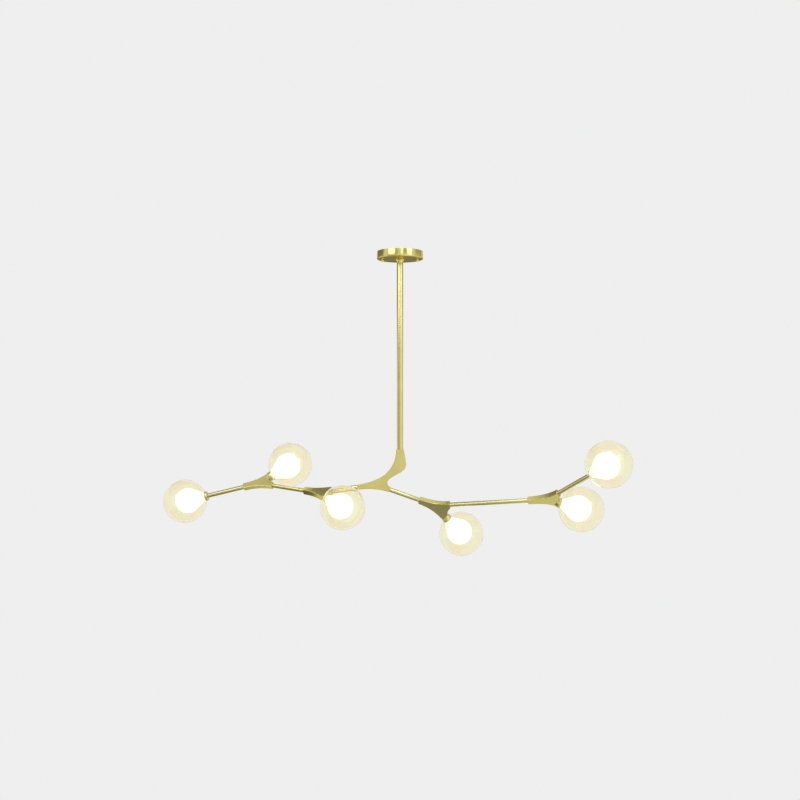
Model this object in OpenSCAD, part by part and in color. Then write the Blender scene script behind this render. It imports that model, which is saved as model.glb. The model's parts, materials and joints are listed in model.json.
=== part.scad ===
// Branch chandelier: a down rod, a cast hub and two jointed branches that carry six double-glass lights.
// Frame: the origin lies on the ceiling at the centre of the canopy, +Z is up, +X runs along the
// branches and -Y faces the room. Lengths are millimetres and angles are degrees.

/* [Canopy] */
// Outer diameter of the canopy
canopy_d = 125; // [118:1:140]
// Depth of the canopy
canopy_h = 21; // [20.5:0.5:27]
// Wall of the spun canopy
canopy_wall = 1.2; // [0.8:0.1:1.8]
// Radius of the canopy's lower edge
canopy_edge_r = 2; // [2:0.5:4]
// Height of the collar under the canopy
collar_h = 10; // [6:1:16]
// Diameter of the collar where it meets the canopy
collar_d = 26; // [24:1:34]
// Wall left at the collar's lower end
collar_lip = 1; // [0.6:0.1:2]

/* [Ceiling bracket] */
// Length of the bracket bar
bracket_l = 108; // [106:1:112]
// Width of the bracket bar
bracket_w = 24; // [20:1:30]
// Thickness of the bracket bar
bracket_t = 2.5; // [2:0.1:3]
// Distance between the centres of the two ceiling screw slots
slot_spacing = 70; // [68:1:74]
// End-to-end length of a ceiling screw slot
slot_l = 12; // [8:0.5:14]
// Width of a ceiling screw slot
slot_w = 4.5; // [4:0.1:6]
// Distance between the two canopy studs
stud_spacing = 94; // [92:1:98]
// Diameter of a canopy stud
stud_d = 4; // [3:0.5:5]
// Diameter of a cap nut
cap_nut_d = 7.5; // [7:0.5:10]
// Height of a cap nut
cap_nut_h = 7; // [6:0.5:10]
// Outer diameter of the threaded hanger nipple
nipple_d = 10; // [9:0.5:10]
// Bore of the hanger nipple
nipple_bore = 7; // [6:0.5:7.5]
// Hanger nipple's engagement in the down rod
nipple_grip = 14; // [8:1:20]
// Thickness of a lock nut
lock_nut_t = 3.5; // [2.5:0.5:4]
// Width of a lock nut across its flats
lock_nut_af = 13; // [12:0.5:14]

/* [Terminal block] */
// Width of the terminal block, along the bar
block_w = 16; // [12:1:17]
// Length of the terminal block, across the bar
block_l = 30; // [24:1:36]
// Height of the terminal block
block_h = 13; // [10:0.5:14]
// Diameter of a wire funnel in the terminal block
funnel_d = 3.6; // [3:0.2:4]

/* [Down rod] */
// Outer diameter of the down rod
rod_d = 17; // [16:0.5:18]
// Wall of the down rod
rod_wall = 2; // [1:0.25:3]
// Length of the down rod
rod_l = 540; // [300:10:900]
// Drop from the ceiling to the top of the down rod
rod_drop = 16.5; // [16:0.5:19]

/* [Hub] */
// Thickness of the hub, front to back
hub_t = 21; // [20:0.5:26]
// Width of the hub's top end, round the down rod
hub_top_w = 21; // [20:0.5:24]
// Width of the hub's branch ends
hub_end_w = 14; // [14:0.5:16]
// Drop from the hub's top end to the level where its branches meet
hub_drop = 95; // [90:1:105]
// Sideways offset from the down rod to where its branches meet
hub_side = 65; // [60:1:75]
// Length of the hub's left branch
hub_left_l = 50; // [46:1:60]
// Length of the hub's right branch
hub_right_l = 40; // [38:1:50]
// Depth of the socket that holds the down rod
rod_socket = 20; // [15:1:25]

/* [Arm rods] */
// Outer diameter of an arm rod
arm_d = 12; // [11:0.25:12.5]
// Wall of an arm rod
arm_wall = 1.5; // [1:0.25:2]
// Depth of a socket that holds an arm rod
arm_socket = 15; // [10:1:18]
// Left inner rod: distance from the hub's centre to the left casting's centre
left_inner_l = 161; // [150:1:220]
// Left inner rod: elevation
left_inner_el = -7.5; // [-12:0.5:-3]
// Left outer rod: distance between the two left castings' centres
left_outer_l = 174; // [165:1:240]
// Left outer rod: turn towards the back
left_outer_turn = 20.5; // [16:0.5:26]
// Left outer rod: elevation
left_outer_el = 7.5; // [5:0.5:12]
// Left tip rod: distance from the casting's centre to the lamp cup
left_tip_l = 150; // [120:1:200]
// Left tip rod: turn towards the back
left_tip_turn = 7.5; // [4:0.5:12]
// Left tip rod: elevation
left_tip_el = -13.5; // [-18:0.5:-10]
// Right inner rod: distance from the hub's centre to the right casting's centre
right_inner_l = 169; // [150:1:220]
// Right inner rod: elevation
right_inner_el = -19.5; // [-24:0.5:-16]
// Right outer rod: distance between the two right castings' centres
right_outer_l = 307; // [260:1:360]
// Right outer rod: turn towards the room
right_outer_turn = 18; // [14:0.5:22]
// Right outer rod: elevation
right_outer_el = 4; // [1:0.5:8]
// Right tip rod: distance from the casting's centre to the lamp cup
right_tip_l = 156; // [130:1:200]
// Right tip rod: turn towards the room
right_tip_turn = 48; // [42:0.5:52]
// Right tip rod: elevation
right_tip_el = 25; // [20:0.5:28]

/* [Branch castings] */
// Thickness of a branch casting
cast_t = 15; // [14.5:0.5:17]
// Width of a casting's rod ends
cast_w = 15; // [14.5:0.5:17]
// Diameter of a casting's round lamp end
lamp_end_d = 25; // [22:0.5:26]
// Length of the stem limb of the left tip casting and the right casting
stem_limb = 45; // [42:1:52]
// Left casting: length of its stem limb
left_stem_l = 37; // [36:1:52]
// Right tip casting: length of its stem limb
right_tip_stem_l = 52; // [42:1:54]
// Length of a casting's rod limb
rod_limb = 42; // [40:1:50]
// How far the web fills the gap between the rod limb and the lamp limb
web_fill = 0.8; // [0.5:0.05:0.9]
// Length of the round flare at the end of a lamp limb
flare_l = 6; // [4:0.5:10]
// Left casting: how far its lamp limb turns off the line of its stem
left_lamp_turn = 24; // [18:1:30]
// Left casting: length of its lamp limb
left_lamp_l = 38; // [34:1:50]
// Left tip casting: how far its lamp limb turns off the line of its stem
left_tip_lamp_turn = 22; // [18:1:28]
// Left tip casting: length of its lamp limb
left_tip_lamp_l = 33; // [30:1:44]
// Right casting: how far its lamp limb turns off the line of its stem
right_lamp_turn = 34; // [28:1:38]
// Right casting: length of its lamp limb
right_lamp_l = 48; // [40:1:54]
// Right tip casting: how far its lamp limb turns off the line of its stem
right_tip_lamp_turn = 33; // [28:1:38]
// Right tip casting: length of its lamp limb
right_tip_lamp_l = 29; // [27:1:40]

/* [Lights] */
// Outer diameter of a lamp cup
cup_d = 26; // [25.4:0.2:28]
// Depth of a lamp cup
cup_h = 6.5; // [5.5:0.5:8]
// Wall of a lamp cup
cup_wall = 1; // [0.8:0.1:1.2]
// Thickness of a lamp cup's base
cup_base = 2; // [1.5:0.25:2.5]
// Diameter of the lampholder
holder_d = 17; // [15:0.5:17.4]
// Height of the lampholder
holder_h = 15; // [12:0.5:20]
// Diameter of the bulb
bulb_d = 14; // [12:0.5:16]
// Length of the bulb without its pins
bulb_l = 42; // [34:1:48]
// Length of the bulb's pins
pin_l = 6; // [4:0.5:7]
// Diameter of a bulb pin
pin_d = 1.4; // [1:0.1:1.6]
// Distance between the bulb's two pins
pin_gap = 9; // [8:0.5:9]
// Outer diameter of the outer globe
globe_d = 120; // [100:1:140]
// Wall of the outer globe
globe_wall = 1.8; // [1.2:0.1:2.4]
// Outer diameter of the inner frosted glass
inner_d = 68; // [56:1:74]
// Wall of the inner frosted glass
inner_wall = 1.4; // [1.2:0.1:1.4]
// Distance of the inner glass's centre from the globe's centre, towards the cup
inner_shift = 8.5; // [4:0.5:12]
// Wall of the globe's neck
neck_wall = 1.4; // [1.2:0.1:1.6]

/* [Hidden] */
$fn = 72;

// Clearances: a running or sliding fit, a gap between pieces that move, and a free hole round a rod.
fit = 0.06;
gap = 0.3;
free_hole = 0.5;
// Overshoot of a cut past the face that it opens.
eps = 1;
// Steps along one curved side of a casting, and along a small rounded edge.
side_steps = 12;
edge_steps = 4;
// Diameter of the cable inside the rods, and of the passages that it runs through in the castings.
cable_d = 4;
passage_d = 6;
// How much wider the cable and the passages are where they turn.
elbow = 0.9;

brass = [0.80, 0.74, 0.49];
bright_brass = [0.86, 0.80, 0.55];
steel = [0.72, 0.73, 0.74];
ceramic = [0.93, 0.92, 0.88];
cable_white = [0.90, 0.90, 0.88];
amber_glass = [0.95, 0.91, 0.72, 0.35];
frosted_glass = [0.99, 0.98, 0.95, 0.8];
diode_yellow = [0.97, 0.90, 0.60];

// ---- Directions and places ----

function unit(v) = v / norm(v);
function dir(turn, el) = [cos(el) * cos(turn), cos(el) * sin(turn), sin(el)];

// Where the hub's top end and its branch centre lie.
hub_top = [0, 0, -(rod_drop + rod_l - rod_socket)];
hub_centre = hub_top + [-hub_side, 0, -hub_drop];

// Directions of the rods, from the hub outwards.
left_inner_dir = dir(180, left_inner_el);
left_outer_dir = dir(180 - left_outer_turn, left_outer_el);
left_tip_dir = dir(180 - left_tip_turn, left_tip_el);
right_inner_dir = dir(0, right_inner_el);
right_outer_dir = dir(-right_outer_turn, right_outer_el);
right_tip_dir = dir(-right_tip_turn, right_tip_el);

// Centres of the four branch castings.
left_at = hub_centre + left_inner_l * left_inner_dir;
left_tip_at = left_at + left_outer_l * left_outer_dir;
right_at = hub_centre + right_inner_l * right_inner_dir;
right_tip_at = right_at + right_outer_l * right_outer_dir;

// A casting lies in the plane of its stem and its rod limb. The lamp limb leaves on the other side
// of the stem's own line, lamp_turn away from it.
function in_plane(stem, rod) = unit(rod - (rod * stem) * stem);
function lamp_dir(stem, rod, lamp_turn) = -cos(lamp_turn) * stem - sin(lamp_turn) * in_plane(stem, rod);
function bend(stem, rod) = atan2(norm(cross(stem, rod)), -(stem * rod));

// One row per casting: centre, stem direction, rod limb direction, lamp limb's turn and length, and
// the stem limb's length.
left_cast = [left_at, left_outer_dir, -left_inner_dir, left_lamp_turn, left_lamp_l, left_stem_l];
left_tip_cast = [left_tip_at, left_tip_dir, -left_outer_dir, left_tip_lamp_turn, left_tip_lamp_l, stem_limb];
right_cast = [right_at, -right_inner_dir, right_outer_dir, right_lamp_turn, right_lamp_l, stem_limb];
right_tip_cast = [right_tip_at, -right_outer_dir, right_tip_dir, right_tip_lamp_turn, right_tip_lamp_l,
    right_tip_stem_l];

function cast_lamp_dir(c) = lamp_dir(c[1], c[2], c[3]);
function cast_lamp_at(c) = c[0] + c[4] * cast_lamp_dir(c);

// The six lights: where each cup's base lies and which way its globe points, from left to right.
lights = [
    [left_tip_at + left_tip_l * left_tip_dir, left_tip_dir],
    [cast_lamp_at(left_tip_cast), cast_lamp_dir(left_tip_cast)],
    [cast_lamp_at(left_cast), cast_lamp_dir(left_cast)],
    [cast_lamp_at(right_cast), cast_lamp_dir(right_cast)],
    [right_tip_at + right_tip_l * right_tip_dir, right_tip_dir],
    [cast_lamp_at(right_tip_cast), cast_lamp_dir(right_tip_cast)]
];

// Turns +Z to direction d and moves the origin to p.
module aim(p, d) translate(p) rotate([0, atan2(norm([d[0], d[1]]), d[2]), atan2(d[1], d[0])]) children();

// ---- Outline helpers ----

function arc(c, r, a0, a1, n) = [for (i = [0:n]) let (a = a0 + (a1 - a0) * i / n) c + r * [cos(a), sin(a)]];
function curve(p, c, q, n) = [for (i = [0:n]) let (t = i / n) (1 - t) * (1 - t) * p + 2 * t * (1 - t) * c + t * t * q];
function heading(a) = [cos(a), sin(a)];
function cross2(u, v) = u[0] * v[1] - u[1] * v[0];
// A point at the end of a limb of width w that leaves c at angle a: side is 1 on its left, -1 on its right.
function limb_corner(c, a, l, w, side) = c + l * heading(a) + side * w / 2 * [-sin(a), cos(a)];
// Where the line through p along angle a meets the line through q along angle b.
function meet(p, a, q, b) = p + cross2(q - p, heading(b)) / cross2(heading(a), heading(b)) * heading(a);

// ---- Ceiling bracket and what hangs on it ----

block_gap = 5;
block_x = nipple_d / 2 + block_gap;

// A pressed steel bar with two slots for the ceiling screws.
module mounting_bracket() color(steel) difference() {
    translate([-bracket_l / 2, -bracket_w / 2, -bracket_t]) cube([bracket_l, bracket_w, bracket_t]);
    translate([0, 0, -bracket_t - eps]) {
        cylinder(d = nipple_d, h = bracket_t + 2 * eps);
        for (side = [-1, 1]) {
            translate([side * stud_spacing / 2, 0, 0]) cylinder(d = stud_d, h = bracket_t + 2 * eps);
            translate([side * slot_spacing / 2, 0, 0]) screw_slot();
        }
        translate([-earth_x, 0, 0]) cylinder(d = earth_d, h = bracket_t + 2 * eps);
    }
}

module screw_slot() {
    reach = (slot_l - slot_w) / 2;
    translate([-reach, -slot_w / 2, 0]) cube([2 * reach, slot_w, bracket_t + 2 * eps]);
    for (side = [-1, 1]) translate([side * reach, 0, 0]) cylinder(d = slot_w, h = bracket_t + 2 * eps);
}

// Two studs, pressed into the bar, that pass through the canopy.
stud_thread = 5;
module canopy_studs() color(steel) for (side = [-1, 1])
    translate([side * stud_spacing / 2, 0, -(canopy_h + stud_thread)]) cylinder(d = stud_d, h = canopy_h + stud_thread);

// The hollow threaded nipple that carries the whole weight. The cable leaves it through a side hole.
nipple_bottom = -(rod_drop + nipple_grip);
cable_exit_z = -(bracket_t + rod_drop) / 2;
module hanger_nipple() color(bright_brass) difference() {
    translate([0, 0, nipple_bottom]) cylinder(d = nipple_d, h = -nipple_bottom);
    translate([0, 0, nipple_bottom - eps]) cylinder(d = nipple_bore, h = -nipple_bottom + 2 * eps);
    translate([0, 0, cable_exit_z]) rotate([0, 90, 0]) cylinder(d = cable_d + 1, h = nipple_d);
}

// One hexagon nut under the bar and one against the down rod's end.
module hex_nut(t) difference() {
    cylinder(d = lock_nut_af / cos(30), h = t, $fn = 6);
    translate([0, 0, -eps]) cylinder(d = nipple_d, h = t + 2 * eps);
}
module lock_nuts() color(steel) {
    translate([0, 0, -bracket_t - lock_nut_t]) hex_nut(lock_nut_t);
    translate([0, 0, -rod_drop + gap]) hex_nut(lock_nut_t);
}

// A three-pole ceramic block, screwed to the underside of the bar.
pole_count = 3;
block_chamfer = 1.5;
module terminal_block() color(ceramic) difference() {
    translate([block_x, -block_l / 2, -bracket_t - block_h]) cube([block_w, block_l, block_h]);
    for (pole = [0:pole_count - 1]) {
        pole_y = block_l * ((pole + 0.5) / pole_count - 0.5);
        translate([block_x - eps, pole_y, cable_exit_z]) rotate([0, 90, 0])
            cylinder(d = funnel_d, h = funnel_depth + eps);
        translate([block_x + block_w + eps, pole_y, cable_exit_z]) rotate([0, -90, 0])
            cylinder(d = funnel_d, h = funnel_depth + eps);
        translate([block_x + block_w / 2, pole_y, -bracket_t - block_h - eps])
            cylinder(d = funnel_d, h = block_h / 3 + eps);
    }
}
funnel_depth = 5;

// Earth screw with its washer under the head.
earth_d = 4;
earth_x = 17;
module earth_screw() color(bright_brass) translate([-earth_x, 0, 0]) mirror([0, 0, 1]) {
    cylinder(d = earth_d, h = bracket_t);
    translate([0, 0, bracket_t]) cylinder(d = 2.4 * earth_d, h = earth_d / 4);
    translate([0, 0, bracket_t + earth_d / 4]) difference() {
        cylinder(d = 1.9 * earth_d, h = earth_d / 2);
        translate([-earth_d, -earth_d / 8, earth_d / 4]) cube([2 * earth_d, earth_d / 4, earth_d]);
    }
}

// Cable from the terminal block through the nipple's side hole, down to the end of the nipple.
module canopy_wires() color(cable_white) {
    translate([0, 0, nipple_bottom]) cylinder(d = cable_d, h = cable_exit_z - nipple_bottom);
    translate([0, 0, cable_exit_z]) {
        sphere(d = cable_d + elbow);
        rotate([0, 90, 0]) cylinder(d = cable_d, h = block_x);
    }
}

// ---- Canopy, which slides down the rod once its two cap nuts are off ----

canopy_inner_r = max(canopy_edge_r - canopy_wall, canopy_wall / 4);
canopy_profile = let (r = canopy_d / 2, h = canopy_h, w = canopy_wall, e = canopy_edge_r, i = canopy_inner_r) concat(
    [[0, -h]],
    arc([r - e, -h + e], e, -90, 0, edge_steps),
    [[r, 0], [r - w, 0]],
    arc([r - w - i, -h + w + i], i, 0, -90, edge_steps),
    [[0, -h + w]]
);
module canopy() color(brass) difference() {
    rotate_extrude($fn = 144) polygon(canopy_profile);
    translate([0, 0, -canopy_h - eps]) {
        cylinder(d = rod_d + 2 * free_hole, h = canopy_wall + 2 * eps);
        for (side = [-1, 1]) translate([side * stud_spacing / 2, 0, 0])
            cylinder(d = stud_d + 2 * gap, h = canopy_wall + 2 * eps);
    }
}

// A flared bush round the down rod, fixed under the canopy.
collar_tip_r = rod_d / 2 + collar_lip;
module canopy_collar() color(brass) translate([0, 0, -canopy_h]) mirror([0, 0, 1]) difference() {
    rotate_extrude() polygon(concat(
        [[0, 0], [collar_d / 2, 0]],
        curve([collar_d / 2, collar_h / 8], [collar_tip_r, collar_h / 4], [collar_tip_r, collar_h], side_steps),
        [[0, collar_h]]
    ));
    translate([0, 0, -eps]) cylinder(d = rod_d + 2 * fit, h = collar_h + 2 * eps);
}

// A domed nut on each stud, under the canopy.
module cap_nut(side) color(bright_brass) translate([side * stud_spacing / 2, 0, -canopy_h]) mirror([0, 0, 1])
    difference() {
        union() {
            cylinder(d = cap_nut_d, h = cap_nut_h - cap_nut_d / 4);
            intersection() {
                translate([0, 0, cap_nut_h - cap_nut_d / 2]) sphere(d = cap_nut_d);
                cylinder(d = cap_nut_d + eps, h = cap_nut_h);
            }
        }
        translate([0, 0, -eps]) cylinder(d = stud_d + 2 * fit, h = stud_thread + gap + eps);
    }

// ---- Down rod and hub ----

module down_rod() color(brass) translate([0, 0, -(rod_drop + rod_l)]) difference() {
    cylinder(d = rod_d, h = rod_l);
    translate([0, 0, -eps]) cylinder(d = rod_d - 2 * rod_wall, h = rod_l - nipple_grip - eps);
    translate([0, 0, rod_l - nipple_grip - 3 * eps]) cylinder(d = nipple_d + 2 * fit, h = nipple_grip + 4 * eps);
}

// Outline of the hub, seen from the room: x to the right and y up, from the centre of its top end.
hub_meet = [-hub_side, -hub_drop];
heel_start = [17.5, -38];
heel_corner = [18.5, -52];
heel_end = [3, -61];
notch_start = [-26, -77.5];
notch_corner = [-38, -85];
notch_end = [-32.5, -96];
notch_a = 116;
left_a = 180 - left_inner_el;
right_a = right_inner_el;
hub_outline = let (
    top_left = [-hub_top_w / 2, 0],
    top_right = [hub_top_w / 2, 0],
    left_up = limb_corner(hub_meet, left_a, hub_left_l, hub_end_w, -1),
    left_down = limb_corner(hub_meet, left_a, hub_left_l, hub_end_w, 1),
    right_up = limb_corner(hub_meet, right_a, hub_right_l, hub_end_w, 1),
    right_down = limb_corner(hub_meet, right_a, hub_right_l, hub_end_w, -1)
) concat(
    curve(top_left, meet(top_left, 90, left_up, left_a), left_up, side_steps),
    curve(left_down, meet(left_down, left_a, right_down, right_a), right_down, side_steps),
    curve(right_up, meet(right_up, right_a, notch_end, notch_a), notch_end, edge_steps),
    curve(notch_end, notch_corner, notch_start, edge_steps),
    curve(heel_end, heel_corner, heel_start, side_steps),
    [top_right]
);

// A flat-faced casting: the down rod enters its top, and the two inner rods leave it at the bottom.
hub_bend = [0, 0, -46];
module hub() color(brass) difference() {
    translate(hub_top) rotate([90, 0, 0]) translate([0, 0, -hub_t / 2]) linear_extrude(hub_t) polygon(hub_outline);
    translate(hub_top - [0, 0, rod_socket]) cylinder(d = rod_d, h = rod_socket + eps);
    passage(hub_top, hub_top + hub_bend);
    passage(hub_top + hub_bend, hub_centre);
    socket(hub_centre, left_inner_dir, hub_left_l, arm_d);
    socket(hub_centre, right_inner_dir, hub_right_l, arm_d);
}

// A cable passage between two points of a casting.
module passage(a, b) {
    aim(a, unit(b - a)) cylinder(d = passage_d, h = norm(b - a));
    translate(b) sphere(d = passage_d + elbow);
}

// A passage along a limb of length l, and the socket in its end for a rod of diameter d.
module socket(c, along, l, d) {
    aim(c, along) cylinder(d = passage_d, h = l);
    socket_bore(c, along, l, d);
}
module socket_bore(c, along, l, d) aim(c + (l - arm_socket) * along, along) cylinder(d = d, h = arm_socket + eps);

// ---- Arm rods ----

// A tube from the point a_start along to a_start + l.
module tube(start, along, l) color(brass) aim(start, along) difference() {
    cylinder(d = arm_d, h = l);
    translate([0, 0, -eps]) cylinder(d = arm_d - 2 * arm_wall, h = l + 2 * eps);
}

// A rod between a fixed socket whose limb is from_limb long and a turning socket of limb to_limb.
module rod_between(c, along, l, from_limb, to_limb) {
    start = from_limb - arm_socket;
    tube(c + start * along, along, l - start - (to_limb - arm_socket) - gap);
}

module left_inner_rod() rod_between(hub_centre, left_inner_dir, left_inner_l, hub_left_l, rod_limb);
module right_inner_rod() rod_between(hub_centre, right_inner_dir, right_inner_l, hub_right_l, stem_limb);
module left_outer_rod() rod_between(left_at, left_outer_dir, left_outer_l, left_stem_l, rod_limb);
module right_outer_rod() rod_between(right_at, right_outer_dir, right_outer_l, rod_limb, right_tip_stem_l);
module left_tip_rod() tip_rod(left_tip_at, left_tip_dir, left_tip_l, stem_limb);
module right_tip_rod() tip_rod(right_tip_at, right_tip_dir, right_tip_l, rod_limb);

// A rod from a fixed socket to the base of a lamp cup.
module tip_rod(c, along, l, limb) tube(c + (limb - arm_socket) * along, along, l - limb + arm_socket);

// ---- Branch castings ----

// Outline of a casting in its own plane: the stem limb points along -X, the rod limb turns up by
// rod_a and the lamp limb turns down by lamp_a. The lamp limb's end stays inside its round flare.
lamp_plate_w = sqrt(lamp_end_d * lamp_end_d - cast_t * cast_t) - 1;
function cast_side(a, la, wa, b, lb, wb, fill) = let (
    p = limb_corner([0, 0], a, la, wa, 1),
    q = limb_corner([0, 0], b, lb, wb, -1),
    c = meet(limb_corner([0, 0], a, la, cast_w, 1), a, limb_corner([0, 0], b, lb, cast_w, -1), b)
) curve(p, (1 - fill) * c + fill * (p + q) / 2, q, side_steps);

module cast_outline(rod_a, lamp_a, lamp_l, stem_l) polygon(concat(
    cast_side(-lamp_a, lamp_l - eps, lamp_plate_w, rod_a, rod_limb, cast_w, web_fill),
    cast_side(rod_a, rod_limb, cast_w, 180, stem_l, cast_w, 0),
    cast_side(180, stem_l, cast_w, 360 - lamp_a, lamp_l - eps, lamp_plate_w, 0)
));

// One casting: c is its row, and the turning end's bore has a running fit on its rod.
module casting(c, turns_on_stem) color(brass) {
    x = -c[1];
    y = in_plane(c[1], c[2]);
    z = cross(x, y);
    lamp = cast_lamp_dir(c);
    difference() {
        union() {
            multmatrix([[x[0], y[0], z[0], c[0][0]], [x[1], y[1], z[1], c[0][1]], [x[2], y[2], z[2], c[0][2]]])
                translate([0, 0, -cast_t / 2]) linear_extrude(cast_t)
                    cast_outline(bend(c[1], c[2]), c[3], c[4], c[5]);
            aim(c[0] + (c[4] - flare_l) * lamp, lamp) cylinder(d1 = cast_w - eps, d2 = lamp_end_d, h = flare_l);
        }
        aim(c[0], c[1]) union() {
            sphere(d = passage_d + elbow);
            cylinder(d = passage_d, h = c[5]);
        }
        aim(c[0], c[2]) cylinder(d = passage_d, h = rod_limb);
        aim(c[0], lamp) cylinder(d = passage_d, h = c[4] + eps);
        socket_bore(c[0], c[1], c[5], arm_d + (turns_on_stem ? 2 * fit : 0));
        socket_bore(c[0], c[2], rod_limb, arm_d + (turns_on_stem ? 0 : 2 * fit));
    }
}

module left_casting() casting(left_cast, false);
module left_tip_casting() casting(left_tip_cast, false);
module right_casting() casting(right_cast, true);
module right_tip_casting() casting(right_tip_cast, true);

// ---- Cable inside the rods, one group for each part that turns by itself ----

module cable(points) color(cable_white) for (i = [1:len(points) - 1]) let (a = points[i - 1], b = points[i]) {
    aim(a, unit(b - a)) cylinder(d = cable_d, h = norm(b - a));
    if (i < len(points) - 1) translate(b) sphere(d = cable_d + elbow);
}

// The cable in a casting, from the turning end's rod to the lamp cup, and on into the next rod.
module cast_cable(c, from_dir, from_l, to) {
    cable([c[0] + from_l * from_dir, c[0], to]);
    cable([c[0], cast_lamp_at(c)]);
}

cable_gap = gap / 2;
left_meet_l = rod_limb - arm_socket - cable_gap;
right_meet_l = stem_limb - arm_socket - cable_gap;
right_tip_meet_l = right_tip_stem_l - arm_socket - cable_gap;
module stem_wires() {
    cable([[0, 0, nipple_bottom - gap], hub_top + hub_bend, hub_centre,
        left_at - (left_meet_l + 2 * cable_gap) * left_inner_dir]);
    cable([hub_centre, right_at - (right_meet_l + 2 * cable_gap) * right_inner_dir]);
}
module left_wires() cast_cable(left_cast, -left_inner_dir, left_meet_l,
    left_tip_at - (left_meet_l + 2 * cable_gap) * left_outer_dir);
module left_tip_wires() cast_cable(left_tip_cast, -left_outer_dir, left_meet_l, lights[0][0]);
module right_wires() cast_cable(right_cast, -right_inner_dir, right_meet_l,
    right_tip_at - (right_tip_meet_l + 2 * cable_gap) * right_outer_dir);
module right_tip_wires() cast_cable(right_tip_cast, -right_outer_dir, right_tip_meet_l, lights[4][0]);

// ---- Lights: every piece is drawn along +Z from the base of its cup ----

cup_bore_r = cup_d / 2 - cup_wall;
neck_r = cup_bore_r - fit;
inner_neck_r = neck_r - neck_wall - fit;
neck_start = cup_base + gap;
neck_flange = 1;
globe_r = globe_d / 2;
// The globe clears the cup's rim by one millimetre where it swells past the cup.
rim_gap = 1;
globe_z = cup_h + rim_gap + sqrt(globe_r * globe_r - cup_d * cup_d / 4);
inner_r = inner_d / 2;
inner_z = globe_z - inner_shift;

module at_light(i) aim(lights[i][0], lights[i][1]) children();

// A turned brass cup that holds the lampholder and grips the globe's neck.
module lamp_cup(i) color(brass) at_light(i) difference() {
    cylinder(d = cup_d, h = cup_h);
    translate([0, 0, cup_base]) cylinder(r = cup_bore_r, h = cup_h);
    translate([0, 0, -eps]) cylinder(d = passage_d, h = cup_base + 2 * eps);
}

// A ceramic lampholder with two pin holes.
holder_top = cup_base + holder_h;
pin_hole_d = pin_d + 2 * gap;
module lampholder(i) color(ceramic) at_light(i) difference() {
    translate([0, 0, cup_base]) cylinder(d = holder_d, h = holder_h);
    for (side = [-1, 1]) translate([side * pin_gap / 2, 0, holder_top - pin_l - gap])
        cylinder(d = pin_hole_d, h = pin_l + gap + eps);
}

// A capsule bulb: two pins, a base and a rounded lens.
bulb_start = holder_top + gap;
bulb_base_l = 9;
module bulb(i) at_light(i) {
    color(ceramic) translate([0, 0, bulb_start]) cylinder(d = bulb_d, h = bulb_base_l);
    color(diode_yellow) translate([0, 0, bulb_start + bulb_base_l]) {
        cylinder(d = bulb_d - 1, h = bulb_l - bulb_base_l - bulb_d / 2);
        translate([0, 0, bulb_l - bulb_base_l - bulb_d / 2]) sphere(d = bulb_d - 1);
    }
    color(steel) for (side = [-1, 1]) translate([side * pin_gap / 2, 0, bulb_start - pin_l])
        cylinder(d = pin_d, h = pin_l + eps);
}

// The inner glass: a neck, a cone and a ball. Its solid form for a ball of radius r and a neck of
// radius n; the cone leaves the neck at neck_top and touches the ball.
neck_top = globe_z - globe_r + 2;
module pear(r, n, start) {
    reach = norm([n, inner_z - neck_top]);
    slope = asin(r / reach) - atan2(n, inner_z - neck_top);
    side = sqrt(reach * reach - r * r);
    translate([0, 0, start]) cylinder(r = n, h = neck_top - start);
    translate([0, 0, neck_top]) cylinder(r1 = n, r2 = n + side * sin(slope), h = side * cos(slope));
    translate([0, 0, inner_z]) sphere(r = r);
}
module inner_glass(i) color(frosted_glass) at_light(i) difference() {
    union() {
        pear(inner_r, inner_neck_r, neck_start);
        translate([0, 0, neck_start]) cylinder(r = neck_r, h = neck_flange);
    }
    pear(inner_r - inner_wall, inner_neck_r - inner_wall, neck_start - eps);
}

// The outer globe stands on the inner glass's flange, where the two are fused.
module outer_globe(i) color(amber_glass) at_light(i) difference() {
    union() {
        translate([0, 0, globe_z]) sphere(r = globe_r);
        translate([0, 0, neck_start + neck_flange]) cylinder(r = neck_r, h = cup_h);
    }
    translate([0, 0, globe_z]) sphere(r = globe_r - globe_wall);
    translate([0, 0, neck_start]) cylinder(r = neck_r - neck_wall, h = globe_r / 4);
}

mounting_bracket();
canopy_studs();
hanger_nipple();
lock_nuts();
terminal_block();
earth_screw();
canopy_wires();
canopy();
canopy_collar();
cap_nut(-1);  // cap_nut_left
cap_nut(1);  // cap_nut_right
down_rod();
hub();
stem_wires();
left_inner_rod();
right_inner_rod();
left_casting();
left_outer_rod();
left_wires();
left_tip_casting();
left_tip_rod();
left_tip_wires();
right_casting();
right_outer_rod();
right_wires();
right_tip_casting();
right_tip_rod();
right_tip_wires();
for (i = [0:5]) {
    lamp_cup(i);
    lampholder(i);
    bulb(i);
    inner_glass(i);
    outer_globe(i);
}
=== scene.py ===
"""Branch chandelier: a canopy and a down rod, a cast hub, and two jointed brass branches with six glass lights.

Everything is in metres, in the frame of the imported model: the origin on the ceiling, +Z up, -Y towards the room.
"""

import json
from math import cos, pi, radians, sin, sqrt, tan

import bmesh
import bpy
from mathutils import Matrix, Vector

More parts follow.
